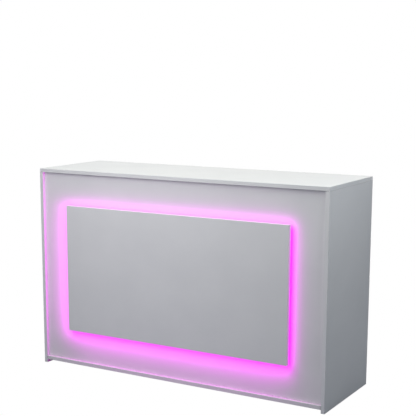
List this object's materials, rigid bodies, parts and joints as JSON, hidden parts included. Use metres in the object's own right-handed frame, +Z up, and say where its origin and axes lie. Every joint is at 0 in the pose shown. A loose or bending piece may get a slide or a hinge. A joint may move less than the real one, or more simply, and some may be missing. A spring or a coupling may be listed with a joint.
{
  "type": "shop counter",
  "caption": "White board shop counter with a back-lit panel standing off its front, open shelved bays on the staff side and push keys for the light.",
  "frame": {"origin": "on the floor, at the middle of the bounding box", "axes": "+Z up, -Y towards the customer (the lit front), +Y towards the staff, +X to the customer's right"},
  "size_m": [1.4, 0.4676, 0.9],
  "materials": {
    "white_melamine": "satin melamine facing",
    "batten_board": "raw sawn board",
    "led_strip": "lit magenta",
    "zinc_fitting": "zinc die casting",
    "nickel_pin": "nickel plate",
    "dark_case": "textured",
    "pale_case": "satin",
    "key_rubber": "matt",
    "lead_pvc": "soft sheath",
    "glide_plastic": "moulded"
  },
  "bodies": {
    "carcass": {"batten_bottom": "batten_board", "batten_left": "batten_board", "batten_right": "batten_board", "batten_top": "batten_board", "bottom_panel": "white_melamine", "cable_clip_drop": "pale_case", "cable_clip_run": "pale_case", "cable_clip_supply": "pale_case", "cable_grommet": "key_rubber", "cam_bolt_floor_left_front": "zinc_fitting", "cam_bolt_floor_left_rear": "zinc_fitting", "cam_bolt_floor_right_front": "zinc_fitting", "cam_bolt_floor_right_rear": "zinc_fitting", "cam_bolt_top_left_front": "zinc_fitting", "cam_bolt_top_left_rear": "zinc_fitting", "cam_bolt_top_right_front": "zinc_fitting", "cam_bolt_top_right_rear": "zinc_fitting", "cam_floor_left_front": "zinc_fitting", "cam_floor_left_rear": "zinc_fitting", "cam_floor_right_front": "zinc_fitting", "cam_floor_right_rear": "zinc_fitting", "cam_top_left_front": "zinc_fitting", "cam_top_left_rear": "zinc_fitting", "cam_top_right_front": "zinc_fitting", "cam_top_right_rear": "zinc_fitting", "centre_divider": "white_melamine", "centre_foot_front": "glide_plastic", "centre_foot_rear": "glide_plastic", "driver_screw_left": "zinc_fitting", "driver_screw_right": "zinc_fitting", "front_panel": "white_melamine", "glide_left_front": "glide_plastic", "glide_left_rear": "glide_plastic", "glide_right_front": "glide_plastic", "glide_right_rear": "glide_plastic", "led_controller": "pale_case", "led_driver": "dark_case", "led_strip": "led_strip", "light_panel": "white_melamine", "shelf_left": "white_melamine", "shelf_pin_left_inner_front": "nickel_pin", "shelf_pin_left_inner_rear": "nickel_pin", "shelf_pin_left_outer_front": "nickel_pin", "shelf_pin_left_outer_rear": "nickel_pin", "shelf_pin_right_inner_front": "nickel_pin", "shelf_pin_right_inner_rear": "nickel_pin", "shelf_pin_right_outer_front": "nickel_pin", "shelf_pin_right_outer_rear": "nickel_pin", "shelf_right": "white_melamine", "side_panel_left": "white_melamine", "side_panel_right": "white_melamine", "strip_lead": "lead_pvc", "supply_lead": "lead_pvc", "worktop": "white_melamine"},
    "power_key": {"key_power": "key_rubber"},
    "colour_key": {"key_colour": "key_rubber"},
    "mode_key": {"key_mode": "key_rubber"}
  },
  "joints": [
    {"name": "power_key_press", "type": "slide", "parent": "carcass", "child": "power_key", "axis": [0, -1, 0], "range_m": [0, 0.0008], "stiffness_N_per_m": 1500, "springref_m": -0.0006},
    {"name": "colour_key_press", "type": "slide", "parent": "carcass", "child": "colour_key", "axis": [0, -1, 0], "range_m": [0, 0.0008], "stiffness_N_per_m": 1500, "springref_m": -0.0006},
    {"name": "mode_key_press", "type": "slide", "parent": "carcass", "child": "mode_key", "axis": [0, -1, 0], "range_m": [0, 0.0008], "stiffness_N_per_m": 1500, "springref_m": -0.0006}
  ]
}
